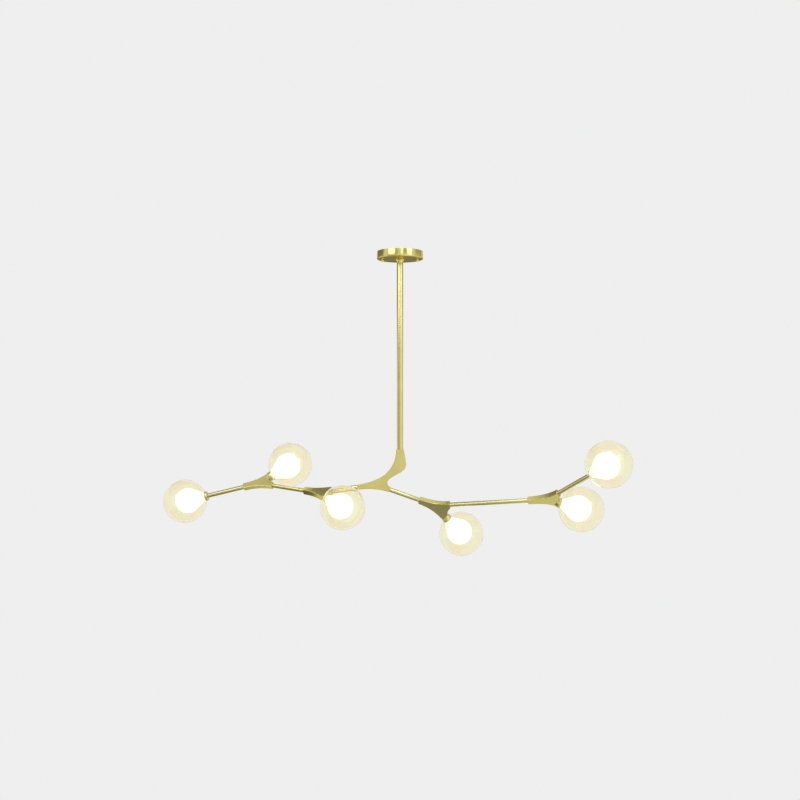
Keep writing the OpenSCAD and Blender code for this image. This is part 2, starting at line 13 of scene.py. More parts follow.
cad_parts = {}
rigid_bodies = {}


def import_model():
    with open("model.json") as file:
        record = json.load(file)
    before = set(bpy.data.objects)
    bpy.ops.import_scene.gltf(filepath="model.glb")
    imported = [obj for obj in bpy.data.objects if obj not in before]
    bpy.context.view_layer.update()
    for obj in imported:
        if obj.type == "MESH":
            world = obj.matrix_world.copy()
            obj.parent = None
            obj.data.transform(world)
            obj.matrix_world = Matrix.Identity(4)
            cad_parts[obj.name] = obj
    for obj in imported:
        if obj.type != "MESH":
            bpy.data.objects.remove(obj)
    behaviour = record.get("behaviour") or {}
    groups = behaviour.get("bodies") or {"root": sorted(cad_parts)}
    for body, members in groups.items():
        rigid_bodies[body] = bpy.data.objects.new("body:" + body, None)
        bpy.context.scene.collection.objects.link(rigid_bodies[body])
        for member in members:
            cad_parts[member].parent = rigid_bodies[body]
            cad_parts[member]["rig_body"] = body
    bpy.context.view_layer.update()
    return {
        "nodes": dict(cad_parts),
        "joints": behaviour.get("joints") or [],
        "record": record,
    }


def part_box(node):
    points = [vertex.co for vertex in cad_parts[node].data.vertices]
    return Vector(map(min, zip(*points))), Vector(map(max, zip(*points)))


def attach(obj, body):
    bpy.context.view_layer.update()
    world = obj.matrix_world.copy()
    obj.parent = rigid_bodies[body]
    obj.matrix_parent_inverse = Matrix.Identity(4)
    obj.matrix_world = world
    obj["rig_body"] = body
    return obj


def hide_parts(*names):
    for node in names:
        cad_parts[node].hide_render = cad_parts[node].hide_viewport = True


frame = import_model()
MM = 0.001

# ---- Camera ----
# The photograph is taken from 3.2 m in front of the down rod, a little below the canopy, looking slightly up.
# Its focal length in pixels belongs to a picture 800 pixels wide.
camera_at = Vector((0, -3.2, -0.521))
camera_tilt = radians(2.11)
focal_px = 1185
picture_px = 800
film_w = 36

camera = bpy.data.objects.new("camera", bpy.data.cameras.new("camera"))
camera.data.sensor_width = film_w
camera.data.lens = film_w * focal_px / picture_px
camera.location = camera_at
camera.rotation_euler = (pi / 2 + camera_tilt, 0, 0)
bpy.context.collection.objects.link(camera)
bpy.context.scene.camera = camera
bpy.context.scene.view_settings.view_transform = "Standard"


# ---- Room ----
# A pale floor under a pale backdrop, a softbox on each side above the camera, a narrow strip between them and a wide
# soft light overhead. Cards that only reflections see give each face of the metal its shade, dark or bright.


class Tree:
    """A node tree. add() makes a node: its type, its settings, and the values or links of its sockets."""

    def __init__(self, tree):
        self.tree = tree

    def add(self, kind, settings, inputs, output=0):
        node = self.tree.nodes.new(kind)
        for name, value in settings.items():
            if name == "stops":
                for stop, (place, colour) in zip(node.color_ramp.elements, value):
                    stop.position, stop.color = place, (*colour, 1)
            else:
                setattr(node, name, value)
        for name, value in inputs.items():
            if isinstance(value, Signal):
                self.tree.links.new(value.socket, node.inputs[name])
            else:
                node.inputs[name].default_value = value
        return Signal(self, node.outputs[output]) if node.outputs else node


class Signal:
    """A node's output that takes part in sums: each sum adds the Math node that works it out."""

    def __init__(self, tree, socket):
        self.tree = tree
        self.socket = socket

    def math(self, operation, first, second):
        return self.tree.add("ShaderNodeMath", {"operation": operation}, {0: first, 1: second})

    def __add__(self, other):
        return self.math("ADD", self, other)

    def __rsub__(self, other):
        return self.math("SUBTRACT", other, self)

    def __mul__(self, other):
        return self.math("MULTIPLY", self, other)

    def __pow__(self, other):
        return self.math("POWER", self, other)

    def most(self, other):
        return self.math("MAXIMUM", self, other)

    __radd__ = __add__
    __rmul__ = __mul__


def new_tree(owner):
    owner.use_nodes = True
    owner.node_tree.nodes.clear()
    return Tree(owner.node_tree)


def background_seen(tree):
    """1 for the rays that show the background: straight to the camera, in a reflection or through glass."""
    rays = tree.tree.nodes.new("ShaderNodeLightPath")
    seen = [Signal(tree, rays.outputs[name]) for name in ("Is Camera Ray", "Is Glossy Ray", "Is Transmission Ray")]
    return seen[0].most(seen[1]).most(seen[2])


background = (0.862, 0.862, 0.862, 1)
world_fill = 0.62
world = bpy.data.worlds.new("room")
bpy.context.scene.world = world
tree = new_tree(world)
strength = background_seen(tree) * (1 - world_fill) + world_fill
shade = tree.add("ShaderNodeBackground", {}, {"Color": background, "Strength": strength})
tree.add("ShaderNodeOutputWorld", {}, {"Surface": shade})

floor_drop = 2.4
floor_half = 40
floor_shadow_reach = 1.6
floor_shadow_share = 0.35
material = bpy.data.materials.new("floor")
tree = new_tree(material)
place = tree.add("ShaderNodeTexCoord", {}, {}, output=3)
away = tree.add("ShaderNodeVectorMath", {"operation": "LENGTH"}, {0: place}, output=1)
near = tree.add("ShaderNodeMapRange", {}, {0: away, 1: 0.0, 2: floor_shadow_reach, 3: floor_shadow_share, 4: 0.0})
matt = tree.add("ShaderNodeBsdfDiffuse", {}, {"Color": background})
plain = tree.add("ShaderNodeEmission", {}, {"Color": background})
share = background_seen(tree) * (1 - near)
mixed = tree.add("ShaderNodeMixShader", {}, {0: share, 1: matt, 2: plain})
tree.add("ShaderNodeOutputMaterial", {}, {"Surface": mixed})
mesh = bpy.data.meshes.new("floor")
corners = [(-floor_half, -floor_half), (floor_half, -floor_half), (floor_half, floor_half), (-floor_half, floor_half)]
mesh.from_pydata([(x, y, -floor_drop) for x, y in corners], [], [(0, 1, 2, 3)])
mesh.materials.append(material)
floor = bpy.data.objects.new("floor", mesh)
bpy.context.collection.objects.link(floor)

room_centre = Vector((0, 0, -0.45))


def facing(turn, climb, distance):
    """A place round the object, and the rotation that looks from there at the object."""
    away = Vector((sin(turn) * cos(climb), -cos(turn) * cos(climb), sin(climb)))
    return room_centre + distance * away, away.to_track_quat("Z", "Y")


def softbox(name, turn, climb, distance, width, height, watts):
    """A soft lamp that metal and glass reflect, and that the camera doesn't see."""
    lamp = bpy.data.lights.new(name, "AREA")
    lamp.shape, lamp.size, lamp.size_y, lamp.energy = "RECTANGLE", width, height, watts
    box = bpy.data.objects.new(name, lamp)
    bpy.context.collection.objects.link(box)
    box.location, turned = facing(radians(turn), radians(climb), distance)
    box.rotation_mode, box.rotation_quaternion = "QUATERNION", turned
    box.visible_camera = False


# Name, turn and climb in degrees, distance, width and height in metres, and watts.
softbox("softbox_left", -42, 21, 3.0, 1.5, 1.1, 11)
softbox("softbox_right", 48, 21, 3.0, 1.1, 1.1, 8)
softbox("strip", 9.5, 21, 3.0, 0.26, 1.1, 1.8)
softbox("overhead", 0, 46, 2.4, 1.8, 1.1, 16)


def flag(name, centre, turn, climb, width, height, grey):
    """A card that only reflections see. It stands at centre and faces the way that turn and climb give."""
    material = bpy.data.materials.new(name)
    tree = new_tree(material)
    shade = tree.add("ShaderNodeEmission", {}, {"Color": (grey, grey, grey, 1)})
    tree.add("ShaderNodeOutputMaterial", {}, {"Surface": shade})
    material.cycles.emission_sampling = "NONE"
    mesh = bpy.data.meshes.new(name)
    w, h = width / 2, height / 2
    mesh.from_pydata([(-w, -h, 0), (w, -h, 0), (w, h, 0), (-w, h, 0)], [], [(0, 1, 2, 3)])
    mesh.materials.append(material)
    turned = facing(radians(turn), radians(climb), 0)[1]
    mesh.transform(Matrix.Translation(centre) @ turned.to_matrix().to_4x4())
    card = bpy.data.objects.new(name, mesh)
    bpy.context.collection.objects.link(card)
    for ray in ("camera", "diffuse", "transmission", "volume_scatter", "shadow"):
        setattr(card, "visible_" + ray, False)


def flag_round(name, turn, climb, distance, width, height, grey):
    """A card that stands round the object and faces it."""
    flag(name, facing(radians(turn), radians(climb), distance)[0], turn, climb, width, height, grey)


# Name, centre, turn and climb in degrees, width and height in metres, and grey.
flag("flag_above_back", (-0.85, 0.85, 1.0), 0, 90, 1.3, 1.3, 0.18)
flag("flag_above_front", (-0.85, 0.05, 1.0), 0, 90, 1.3, 0.3, 1.0)
flag("flag_below_left", (-1.325, -0.36, -1.6), 0, 90, 1.35, 1.72, 0.15)
flag("flag_below", (-0.245, -0.36, -1.6), 0, 90, 0.81, 1.72, 0.34)
flag("flag_canopy", (0, 0.55, -0.1), 0, 0, 0.8, 0.3, 0.27)
# Name, turn and climb in degrees, distance, width and height in metres, and grey.
flag_round("flag_left", -118, 28, 2.26, 2.4, 1.1, 0.25)
flag_round("flag_right", 108, 28, 2.26, 2.0, 1.0, 0.48)
flag_round("flag_corner", -57, 53, 1.9, 1.0, 0.8, 0.45)
flag_round("flag_slim_left", -18.5, 23, 2.7, 0.57, 1.1, 0.48)
flag_round("flag_slim_right", 26, 23, 2.7, 0.76, 1.1, 0.45)
flag_round("flag_low", -42, -1, 2.4, 1.75, 1.34, 0.42)
flag_round("panel_low", 45, -1, 2.4, 2.4, 1.34, 1.05)


# ---- Canopy ----
# A spun brass cup with a turned collar under it, lightly brushed round its wall, and two knurled nuts that hold it
# to the studs. The turned pieces are drawn as closed outlines of radius and height, swept once round.

fillet_steps = 5
turn_steps = 128
lens_angle = radians(38)


def rounded(outline):
    """The points of a closed outline, with each corner (x, y, radius) turned into an arc of that radius."""
    points = []
    for i, corner in enumerate(outline):
        here = Vector(corner[:2])
        radius = corner[2] if len(corner) > 2 else 0
        if not radius:
            points.append(here)
            continue
        back = (Vector(outline[i - 1][:2]) - here).normalized()
        ahead = (Vector(outline[(i + 1) % len(outline)][:2]) - here).normalized()
        half = back.angle(ahead) / 2
        start, end = here + back * radius / tan(half), here + ahead * radius / tan(half)
        centre = here + (back + ahead).normalized() * radius / sin(half)
        first, sweep = start - centre, (start - centre).angle_signed(end - centre)
        for step in range(fillet_steps + 1):
            angle = -sweep * step / fillet_steps
            points.append(centre + Matrix.Rotation(angle, 2) @ first)
    return points


def turned(outline, steps=turn_steps):
    """A mesh swept once round +Z from a closed outline of (radius, height) or (radius, height, fillet), in metres."""
    mesh = bmesh.new()
    ring = [mesh.verts.new((point.x, 0, point.y)) for point in rounded(outline)]
    edges = [mesh.edges.new((ring[i - 1], ring[i])) for i in range(len(ring))]
    bmesh.ops.spin(mesh, geom=ring + edges, axis=(0, 0, 1), cent=(0, 0, 0), angle=2 * pi, steps=steps, use_merge=True)
    bmesh.ops.remove_doubles(mesh, verts=mesh.verts, dist=1e-6)
    bmesh.ops.dissolve_degenerate(mesh, edges=mesh.edges, dist=1e-7)
    bmesh.ops.recalc_face_normals(mesh, faces=mesh.faces)
    return mesh


def bend(start, corner, end, share):
    """The point of a smooth curve that leaves start towards corner and arrives at end."""
    return (1 - share) ** 2 * start + 2 * share * (1 - share) * corner + share**2 * end


def made_object(name, mesh, material):
    """An object of a bmesh, smooth but for its real edges."""
    data = bpy.data.meshes.new(name)
    mesh.to_mesh(data)
    mesh.free()
    data.materials.append(material)
    data.shade_smooth()
    data.set_sharp_from_angle(angle=lens_angle)
    piece = bpy.data.objects.new(name, data)
    bpy.context.collection.objects.link(piece)
    return piece


def settled(piece):
    """Turns a piece with modifiers into a plain mesh."""
    graph = bpy.context.evaluated_depsgraph_get()
    piece.data = bpy.data.meshes.new_from_object(piece.evaluated_get(graph))
    piece.modifiers.clear()
    return piece


slot_of = {part["node"]: part["material_slot"] for part in frame["record"]["subparts"]}


def stands_for(piece, place, *nodes):
    """Moves a piece from its own axes to its place and hands it to the frame in place of its CAD nodes.

    The attribute "made" keeps the coordinates on the piece's own axes, for the grain of its finish.
    """
    made = piece.data.attributes.new("made", "FLOAT_VECTOR", "POINT")
    made.data.foreach_set("vector", [value for vertex in piece.data.vertices for value in vertex.co])
    piece.data.transform(place)
    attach(piece, frame["nodes"][nodes[0]]["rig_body"])
    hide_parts(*nodes)
    return piece


def surface(tree, inputs):
    """A Principled surface on the material's output."""
    shader = tree.add("ShaderNodeBsdfPrincipled", {}, inputs)
    tree.add("ShaderNodeOutputMaterial", {}, {"Surface": shader})


def brass(name, grain, shine, deep, pale):
    """Satin brass. grain is how fine the brushing is along each of the piece's own axes, in lines a metre.

    Broad patches shift its tone between deep and pale. The brushing varies its roughness, which is shine on the
    whole, and lies in it as fine scratches.
    """
    material = bpy.data.materials.new(name)
    tree = new_tree(material)
    made = tree.add("ShaderNodeAttribute", {"attribute_name": "made"}, {}, output=1)
    brushed = tree.add("ShaderNodeMapping", {}, {"Vector": made, "Scale": grain})
    lines = tree.add("ShaderNodeTexNoise", {}, {"Vector": brushed, "Scale": 1.0, "Detail": 2.0, "Roughness": 0.5})
    patches = tree.add("ShaderNodeTexNoise", {}, {"Vector": made, "Scale": 18.0, "Detail": 2.0, "Roughness": 0.5})
    tone = patches * 0.75 + lines * 0.25
    colour = tree.add("ShaderNodeValToRGB", {"stops": [(0.3, deep), (0.7, pale)]}, {"Fac": tone})
    scratches = tree.add("ShaderNodeBump", {}, {"Strength": 0.1, "Distance": 0.03 * MM, "Height": lines})
    surface(tree, {
        "Base Color": colour,
        "Metallic": 1.0,
        "Roughness": lines * 0.06 + patches * 0.05 + (shine - 0.055),
        "Specular Tint": brass_edge,
        "Normal": scratches,
    })
    return material


satin = (0.66, 0.575, 0.195), (0.735, 0.655, 0.25)
bright = (0.80, 0.73, 0.40), (0.87, 0.81, 0.52)
brass_edge = (0.86, 0.77, 0.42, 1)
along, across, fine = 30, 900, 1800
turned_brass = brass("turned_brass", (along, along, across), 0.18, *satin)
bright_brass = brass("bright_brass", (along, along, fine), 0.26, *bright)

rod_d = 17 * MM
rod_free = 0.5 * MM
canopy_low, canopy_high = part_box("canopy")
canopy_r = (canopy_high.x - canopy_low.x) / 2
canopy_h = canopy_high.z - canopy_low.z
canopy_wall = 1.2 * MM
canopy_edge = 2 * MM
rod_hole = rod_d / 2 + rod_free
outline = [
    (rod_hole, -canopy_h),
    (canopy_r, -canopy_h, canopy_edge),
    (canopy_r, 0, 0.4 * MM),
    (canopy_r - canopy_wall, 0, 0.4 * MM),
    (canopy_r - canopy_wall, canopy_wall - canopy_h, canopy_edge - canopy_wall),
    (rod_hole, canopy_wall - canopy_h),
]
canopy = made_object("canopy_cup", turned(outline), turned_brass)
stands_for(canopy, Matrix(), "canopy")

collar_low, collar_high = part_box("canopy_collar")
collar_r = (collar_high.x - collar_low.x) / 2
collar_h = collar_high.z - collar_low.z
collar_bore = rod_d / 2 + 0.06 * MM
collar_tip = rod_d / 2 + 1 * MM
collar_steps = 12
flare = [Vector(point) for point in ((collar_r, collar_h / 8), (collar_tip, collar_h / 4), (collar_tip, collar_h))]
collar_curve = []
for step in range(collar_steps + 1):
    point = bend(*flare, step / collar_steps)
    collar_curve.append((point.x, -point.y))
collar_curve[-1] += (0.4 * MM,)
outline = [(collar_bore, 0), (collar_r, 0, 0.3 * MM), *collar_curve, (collar_bore, -collar_h, 0.2 * MM)]
collar = made_object("canopy_collar_turned", turned(outline), turned_brass)
stands_for(collar, Matrix.Translation((0, 0, collar_high.z)), "canopy_collar")

knurl_count = 28
knurl_d = 0.55 * MM
nut_bore = 2.06 * MM
nut_hole_h = 5.3 * MM


def new_geometry(name, numbers):
    """A Geometry Nodes tree that takes a mesh and named numbers; returns it with its inputs."""
    tree = bpy.data.node_groups.new(name, "GeometryNodeTree")
    tree.interface.new_socket("Core", in_out="INPUT", socket_type="NodeSocketGeometry")
    for number in numbers:
        kind = "NodeSocketInt" if number == "Count" else "NodeSocketFloat"
        tree.interface.new_socket(number, in_out="INPUT", socket_type=kind)
    tree.interface.new_socket("Geometry", in_out="OUTPUT", socket_type="NodeSocketGeometry")
    group = tree.nodes.new("NodeGroupInput")
    nodes = Tree(tree)
    return nodes, {name: Signal(nodes, group.outputs[name]) for name in ["Core", *numbers]}


def close_geometry(nodes, parts, material):
    """Joins the parts of the tree, as real faces of the material."""
    join = nodes.tree.nodes.new("GeometryNodeJoinGeometry")
    for part in parts:
        nodes.tree.links.new(part.socket, join.inputs[0])
    real = nodes.add("GeometryNodeRealizeInstances", {}, {0: Signal(nodes, join.outputs[0])})
    finish = nodes.add("GeometryNodeSetMaterial", {}, {"Geometry": real, "Material": material})
    output = nodes.tree.nodes.new("NodeGroupOutput")
    nodes.tree.links.new(finish.socket, output.inputs[0])
    return nodes.tree


def dressed(piece, tree, numbers):
    """Runs a Geometry Nodes tree on a piece, with its numbers set by name, and settles the result."""
    modifier = piece.modifiers.new(tree.name, "NODES")
    modifier.node_group = tree
    for item in tree.interface.items_tree:
        if item.in_out == "INPUT" and item.name in numbers:
            modifier[item.identifier] = numbers[item.name]
    return settled(piece)


nodes, number = new_geometry("knurl", ["Radius", "Ridge", "Height", "Count"])
circle = nodes.add("GeometryNodeMeshCircle", {}, {"Vertices": number["Count"], "Radius": number["Radius"]})
ridge = nodes.add(
    "GeometryNodeMeshCylinder", {}, {"Vertices": 4, "Radius": number["Ridge"], "Depth": number["Height"]}
)
ridges = nodes.add("GeometryNodeInstanceOnPoints", {}, {"Points": circle, "Instance": ridge})
knurl = close_geometry(nodes, (ridges, number["Core"]), bright_brass)

for side in ("left", "right"):
    low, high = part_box("cap_nut_" + side)
    nut_r, nut_h = (high.x - low.x) / 2, high.z - low.z
    grip_h = 0.6 * nut_h
    body_r = nut_r - 0.25 * MM
    outline = [
        (nut_bore, 0),
        (body_r, 0, 0.3 * MM),
        (body_r, -grip_h, 0.2 * MM),
        (body_r - 0.5 * MM, -grip_h - 0.4 * MM, 0.2 * MM),
        (0.66 * nut_r, -nut_h, 1.2 * MM),
        (0, -nut_h),
        (0, -nut_hole_h),
        (nut_bore, -nut_hole_h),
    ]
    core = made_object("cap_nut_" + side + "_knurled", turned(outline, 48), bright_brass)
    core.data.transform(Matrix.Translation((0, 0, grip_h / 2)))
    numbers = {"Radius": body_r - 0.05 * MM, "Ridge": knurl_d / 2, "Height": 0.78 * grip_h, "Count": knurl_count}
    core = dressed(core, knurl, numbers)
    place = Matrix.Translation(((low.x + high.x) / 2, 0, high.z - grip_h / 2))
    stands_for(core, place, "cap_nut_" + side)


# ---- Down rod and arm rods ----
# Drawn brass tubes, brushed along their length. Each lies on the line between the middles of its own box, so its
# length and its place come from the frame.

tube_edge = 0.4 * MM
drawn_brass = brass("drawn_brass", (across, across, along), 0.22, (0.65, 0.57, 0.225), (0.725, 0.65, 0.285))
arm_brass = brass("arm_brass", (across, across, along), 0.22, (0.655, 0.585, 0.262), (0.73, 0.665, 0.33))
joints = {joint["name"]: joint for joint in frame["joints"]}


def joint_axis(name):
    return Vector(joints[name]["axis"]).normalized()


def aimed(start, direction):
    """Turns +Z to a direction and moves the origin to start."""
    return Matrix.Translation(start) @ direction.to_track_quat("Z", "Y").to_matrix().to_4x4()


def tube(node, direction, radius, wall, material):
    """A tube in place of a node, along a direction."""
    low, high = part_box(node)
    axis = max(range(3), key=lambda i: abs(direction[i]))
    along_axis = abs(direction[axis])
    length = (high[axis] - low[axis] - 2 * radius * sqrt(max(0, 1 - along_axis**2))) / along_axis
    outline = [
        (radius - wall, 0, tube_edge / 2),
        (radius, 0, tube_edge),
        (radius, length, tube_edge),
        (radius - wall, length, tube_edge / 2),
    ]
    piece = made_object(node + "_tube", turned(outline, 64), material)
    return stands_for(piece, aimed((low + high) / 2 - direction * length / 2, direction), node)


rod_wall = 2 * MM
arm_r = 6 * MM
arm_wall = 1.5 * MM
left_inner, right_inner = joint_axis("left_arm_turn"), joint_axis("right_arm_turn")
left_outer, right_outer = joint_axis("left_tip_turn"), joint_axis("right_tip_turn")
left_tip, right_tip = joint_axis("globe_1_pull"), joint_axis("globe_5_pull")
tube("down_rod", Vector((0, 0, 1)), rod_d / 2, rod_wall, drawn_brass)
for node, direction in (
    ("left_inner_rod", left_inner),
    ("left_outer_rod", left_outer),
    ("left_tip_rod", left_tip),
    ("right_inner_rod", right_inner),
    ("right_outer_rod", right_outer),
    ("right_tip_rod", right_tip),
):
    tube(node, direction, arm_r, arm_wall, arm_brass)


# ---- Hub and branch castings ----
# Flat brass castings with three limbs, satin all over, with softly broken edges. Each is a cage of eight-cornered
# rings along its limbs, smoothed by subdivision: sockets open its rod ends, and a lamp end flares to a round seat.

# A smoothed ring of eight corners comes out this much smaller than its cage.
ring_shrink = (2 + cos(pi / 4)) / 3
edge_crease = 0.5
bore_crease = 0.7
cast_level = 3
curve_steps = 24
hub_steps = 16
socket_depth = 15 * MM


def heading(angle):
    return Vector((cos(angle), sin(angle)))


def meeting(start, a, end, b):
    """Where the line through start along angle a meets the line through end along angle b."""
    u, v, gap = heading(a), heading(b), end - start
    return start + u * (gap.x * v.y - gap.y * v.x) / (u.x * v.y - u.y * v.x)


def evenly(points, count):
    """Points at even steps along a line of points, both ends included."""
    lengths = [0]
    for a, b in zip(points, points[1:]):
        lengths.append(lengths[-1] + (b - a).length)
    picked, i = [], 0
    for step in range(count + 1):
        reach = lengths[-1] * step / count
        while i < len(points) - 2 and lengths[i + 1] < reach:
            i += 1
        share = (reach - lengths[i]) / (lengths[i + 1] - lengths[i])
        picked.append(points[i].lerp(points[i + 1], min(share, 1)))
    return picked


def plate_ring(left, right, half):
    """Eight corners round a flat limb, from its left edge over its front face."""
    middle = (left + right) / 2
    flat = [(left, 0), (left, 1), (middle, 1), (right, 1), (right, 0), (right, -1), (middle, -1), (left, -1)]
    return [Vector((point.x, point.y, side * half)) for point, side in flat]


def round_ring(centre, direction, radius):
    """Eight corners round a limb's own line, in the order of plate_ring."""
    across = Vector((-direction.y, direction.x, 0))
    up = Vector((0, 0, 1))
    reach = radius / ring_shrink
    corners = [i * pi / 4 for i in range(8)]
    return [centre.to_3d() + reach * (cos(angle) * across + sin(angle) * up) for angle in corners]


def casting(limbs, sides, half):
    """A three-limbed casting in its own plane, as a bmesh.

    limbs: for each limb, counter-clockwise, its direction, its count of rings, its bore or None, and the rings of
    its round end, from the outside inwards. sides: the outline from each limb's left corner to the crotch, and from
    there to the next limb's right corner.
    """
    mesh = bmesh.new()
    crease = mesh.edges.layers.float.new("crease_edge")
    forks = [side[0][-1] for side in sides]
    centre = (forks[0] + forks[1] + forks[2]) / 3
    middle = {side: mesh.verts.new((centre.x, centre.y, side * half)) for side in (1, -1)}
    fork = [{side: mesh.verts.new((p.x, p.y, side * half)) for side in (1, 0, -1)} for p in forks]

    def walled(rings, creased):
        """Walls between rings that follow each other, with the plate's four edges creased."""
        for outer, inner in zip(rings, rings[1:]):
            for i in range(8):
                j = (i + 1) % 8
                mesh.faces.new((outer[i], outer[j], inner[j], inner[i]))
            if creased:
                for i in (1, 3, 5, 7):
                    mesh.edges.get((outer[i], inner[i]))[crease] = edge_crease

    def creased_ring(ring, amount):
        for i in range(8):
            mesh.edges.get((ring[i - 1], ring[i]))[crease] = amount

    def closed(ring, point):
        cap = mesh.verts.new(point)
        for i in (0, 2, 4, 6):
            mesh.faces.new((ring[i], ring[i + 1], ring[(i + 2) % 8], cap))

    for k, (direction, count, bore, seat) in enumerate(limbs):
        left = evenly(sides[k][0], count)[:-1]
        right = evenly(sides[k - 1][1][::-1], count)[:-1]
        plates = [plate_ring(a, b, half) for a, b in zip(left, right)]
        rings = [[mesh.verts.new(corner) for corner in ring] for ring in seat + plates]
        before, after = fork[k], fork[k - 1]
        root = [before[0], before[1], middle[1], after[1], after[0], after[-1], middle[-1], before[-1]]
        walled(rings[: len(seat) + 1], False)
        walled(rings[len(seat) :] + [root], True)
        end = (left[0] + right[0]) / 2
        if bore:
            hole, bottom = (
                [mesh.verts.new(corner) for corner in round_ring(point, direction, bore)]
                for point in (end, end - direction * socket_depth)
            )
            walled([hole, rings[0]], False)
            walled([bottom, hole], False)
            closed(bottom, (end - direction * socket_depth).to_3d())
            for ring in (hole, bottom):
                creased_ring(ring, bore_crease)
        else:
            face = sum((vertex.co for vertex in rings[0]), Vector()) / 8
            closed(rings[0], face)
        creased_ring(rings[0], edge_crease)
    bmesh.ops.recalc_face_normals(mesh, faces=mesh.faces)
    return mesh


def cast_piece(name, mesh, place, node):
    """Smooths a casting's cage and puts it in its place."""
    piece = made_object(name, mesh, cast_brass)
    smooth = piece.modifiers.new("smooth", "SUBSURF")
    smooth.levels = smooth.render_levels = cast_level
    piece = settled(piece)
    piece.data.shade_smooth()
    return stands_for(piece, place, node)


cast_brass = brass("cast_brass", (260, across, across), 0.28, *satin)

rod_limb = 42 * MM
cast_w = 15 * MM
seat_r = 12.5 * MM
seat_h = 1.2 * MM
seat_free = 1 * MM
flare_l = 6 * MM
web_fill = 0.8
cup_h = 6.5 * MM
arm_bore = arm_r + 0.06 * MM


def box_centre(node):
    low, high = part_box(node)
    return (low + high) / 2


def cup_base(light):
    """Where a light's cup sits on its limb or rod."""
    return box_centre(f"lamp_cup_{light}") - joint_axis(f"globe_{light}_pull") * cup_h / 2


def branch_casting(name, centre, stem, rod, light, node, stem_l):
    """A casting between a stem and a rod, with the limb of one light. stem and rod point out of the casting."""
    x = -stem
    y = (rod - rod.dot(stem) * stem).normalized()
    z = x.cross(y)
    lamp = cup_base(light) - centre
    angles = {"lamp": lamp.angle(x) * -1, "rod": rod.angle(x), "stem": pi}
    lamp_l = lamp.length
    lengths = {"lamp": lamp_l - flare_l, "rod": rod_limb, "stem": stem_l}
    # The lamp limb is as wide as the round seat is where the casting's faces cut it.
    lamp_w = 2 * sqrt(seat_r**2 - (cast_w / 2) ** 2) - seat_free
    widths = {"lamp": lamp_w, "rod": cast_w, "stem": cast_w}

    def corner(limb, side, width):
        angle = angles[limb]
        return heading(angle) * lengths[limb] + side * width / 2 * heading(angle + pi / 2)

    def side_between(a, b, fill):
        start, end = corner(a, 1, widths[a]), corner(b, -1, widths[b])
        cross = meeting(corner(a, 1, cast_w), angles[a], corner(b, -1, cast_w), angles[b])
        cross = (1 - fill) * cross + fill * (start + end) / 2
        curve = [bend(start, cross, end, step / curve_steps) for step in range(curve_steps + 1)]
        middle = curve_steps // 2
        return curve[: middle + 1], curve[middle:]

    sides = [side_between("lamp", "rod", web_fill), side_between("rod", "stem", 0), side_between("stem", "lamp", 0)]
    towards = heading(angles["lamp"])
    seat = [round_ring(towards * (lamp_l - drop), towards, seat_r) for drop in (0, seat_h)]
    limbs = [
        (towards, 4, None, seat),
        (heading(angles["rod"]), 5, arm_bore, []),
        (heading(angles["stem"]), 5, arm_bore, []),
    ]
    place = Matrix.Translation(centre) @ Matrix((x, y, z)).transposed().to_4x4()
    return cast_piece(name, casting(limbs, sides, cast_w / 2), place, node)


def limb_root(joint, limb):
    """The centre of the casting whose limb ends at a joint."""
    return Vector(joints[joint]["pos_m"]) + joint_axis(joint) * limb


left_stem_l = 37 * MM
left_tip_stem_l = 45 * MM
right_stem_l = 45 * MM
right_tip_stem_l = 52 * MM
left_at = limb_root("left_arm_turn", rod_limb)
left_tip_at = limb_root("left_tip_turn", rod_limb)
right_at = limb_root("right_arm_turn", right_stem_l)
right_tip_at = limb_root("right_tip_turn", right_tip_stem_l)
branch_casting("left_branch", left_at, left_outer, -left_inner, 3, "left_casting", left_stem_l)
branch_casting("left_tip_branch", left_tip_at, left_tip, -left_outer, 2, "left_tip_casting", left_tip_stem_l)
branch_casting("right_branch", right_at, -right_inner, right_outer, 4, "right_casting", right_stem_l)
branch_casting("right_tip_branch", right_tip_at, -right_outer, right_tip, 6, "right_tip_casting", right_tip_stem_l)

hub_low, hub_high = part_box("hub")
hub_top = Vector((0, 0, hub_high.z))
hub_half = (hub_high.y - hub_low.y) / 2
hub_fork = Vector((-65, -95)) * MM
hub_top_w = 21 * MM
hub_end_w = 14 * MM
hub_left_l = 50 * MM
hub_right_l = 40 * MM
heel = [Vector(point) * MM for point in ((17.5, -38), (18.5, -52), (3, -61))]
notch = [Vector(point) * MM for point in ((-26, -77.5), (-38, -85), (-32.5, -96))]
notch_turn = radians(116)

left_turn = Vector((left_inner.x, left_inner.z))
right_turn = Vector((right_inner.x, right_inner.z))


def turn_of(direction):
    """A direction's angle from +X in the plane of the hub, counter-clockwise."""
    return Vector((1, 0)).angle_signed(direction) * -1


def limb_corner(direction, length, side):
    """The corner at the end of a hub limb, on one side of its line."""
    return hub_fork + direction * length + side * hub_end_w / 2 * Vector((-direction.y, direction.x))


def hub_curve(start, corner, end):
    return [bend(start, corner, end, step / hub_steps) for step in range(hub_steps + 1)]


